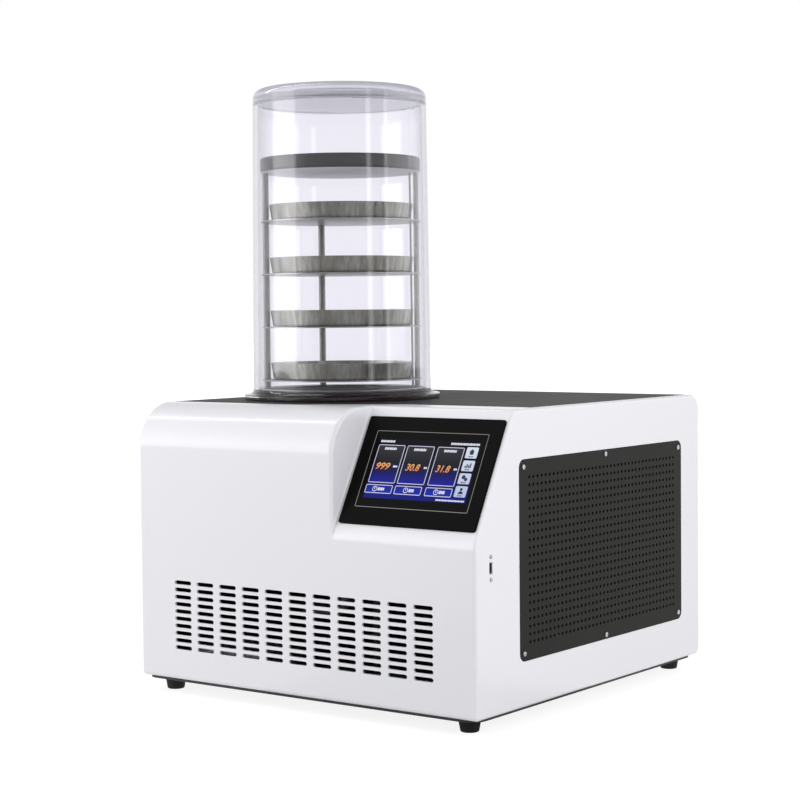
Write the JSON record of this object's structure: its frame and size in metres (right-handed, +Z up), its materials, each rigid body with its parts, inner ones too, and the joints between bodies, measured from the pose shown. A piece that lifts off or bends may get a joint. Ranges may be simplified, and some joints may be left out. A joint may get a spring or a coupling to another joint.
{
  "type": "freeze dryer",
  "caption": "Bench-top freeze dryer: white housing with a sloped touch screen, side grille and slots, clear bell chamber over a cold trap with a rack of drying trays.",
  "frame": {"origin": "centre of the footprint on the bench, under the feet", "axes": "+Z up, -Y towards the user at the front, +X to the user's right"},
  "size_m": [0.5318, 0.581, 0.7893],
  "materials": {
    "white_body": "glossy",
    "white_panel": "satin",
    "black_top": "satin",
    "black_base": "matt",
    "dark_grille": "satin",
    "zinc_steel": "satin",
    "stainless": "brushed",
    "black_rubber": "matt",
    "seal_rubber": "satin",
    "black_bezel": "satin",
    "screen_glass": "glossy",
    "grey_module": "matt",
    "clear_acrylic": "clear",
    "grey_disc": "matt",
    "foam": "matt",
    "copper": "satin",
    "brass": "satin",
    "aluminium": "satin",
    "black_steel": "satin",
    "black_plastic": "satin",
    "red_paint": "glossy",
    "clear_hose": "satin",
    "green_board": "satin",
    "green_rocker": "glossy"
  },
  "bodies": {
    "machine": {"outer_shell": "white_body", "top_plate": "black_top", "base_plate": "black_base", "rear_panel": "white_panel", "rear_screws": "zinc_steel", "inner_frame": "zinc_steel", "feet": "black_rubber", "foot_bolts": "zinc_steel", "side_grille": "dark_grille", "grille_screws": "zinc_steel", "screen_bezel": "black_bezel", "screen_glass": "screen_glass", "screen_module": "grey_module", "screen_clamps": "zinc_steel", "usb_socket": "zinc_steel", "usb_screws": "zinc_steel", "bell_jar": "clear_acrylic", "bell_seal": "seal_rubber", "cold_trap": "stainless", "trap_foam": "foam", "trap_foam_base": "foam", "evaporator_coil": "copper", "rack_posts": "stainless", "rack_disc": "grey_disc", "shelf_1": "stainless", "shelf_2": "stainless", "shelf_3": "stainless", "shelf_4": "stainless", "tray_1": "stainless", "tray_2": "stainless", "tray_3": "stainless", "tray_4": "stainless", "compressor": "black_steel", "compressor_grommets": "black_rubber", "condenser_fins": "aluminium", "condenser_tubes": "copper", "condenser_bends": "copper", "condenser_ends": "aluminium", "fan_shroud": "black_steel", "fan_motor": "zinc_steel", "filter_drier": "copper", "discharge_pipe": "copper", "suction_pipe": "copper", "liquid_pipe": "copper", "vacuum_port": "stainless", "vacuum_pipe": "stainless", "pressure_sensor": "grey_module", "vent_valve": "brass", "drain_valve": "brass", "drain_pipe": "clear_hose", "control_board": "green_board", "power_supply": "aluminium", "mains_inlet": "black_plastic", "pump_outlet": "black_plastic", "fuse_holder": "black_plastic", "switch_frame": "black_plastic"},
    "fan": {"fan_rotor": "black_plastic"},
    "vent_knob_turned": {"vent_knob": "black_plastic"},
    "drain_lever_turned": {"drain_lever": "red_paint"},
    "power_rocker": {"switch_rocker": "green_rocker"}
  },
  "joints": [
    {"name": "fan_spin", "type": "hinge", "parent": "machine", "child": "fan", "pos_m": [0.19015, 0.00085, 0.1947], "axis": [1, 0, 0], "continuous": true},
    {"name": "power_rocker_tilt", "type": "hinge", "parent": "machine", "child": "power_rocker", "pos_m": [0.02915, 0.2537, 0.091], "axis": [1, 0, 0], "range_deg": [-18, 0]},
    {"name": "vent_knob_turn", "type": "hinge", "parent": "machine", "child": "vent_knob_turned", "pos_m": [-0.19335, 0.2685, 0.315], "axis": [0, 1, 0], "range_deg": [0, 720]},
    {"name": "drain_lever_turn", "type": "hinge", "parent": "machine", "child": "drain_lever_turned", "pos_m": [-0.19335, 0.2615, 0.098], "axis": [0, 0, 1], "range_deg": [0, 90]}
  ]
}
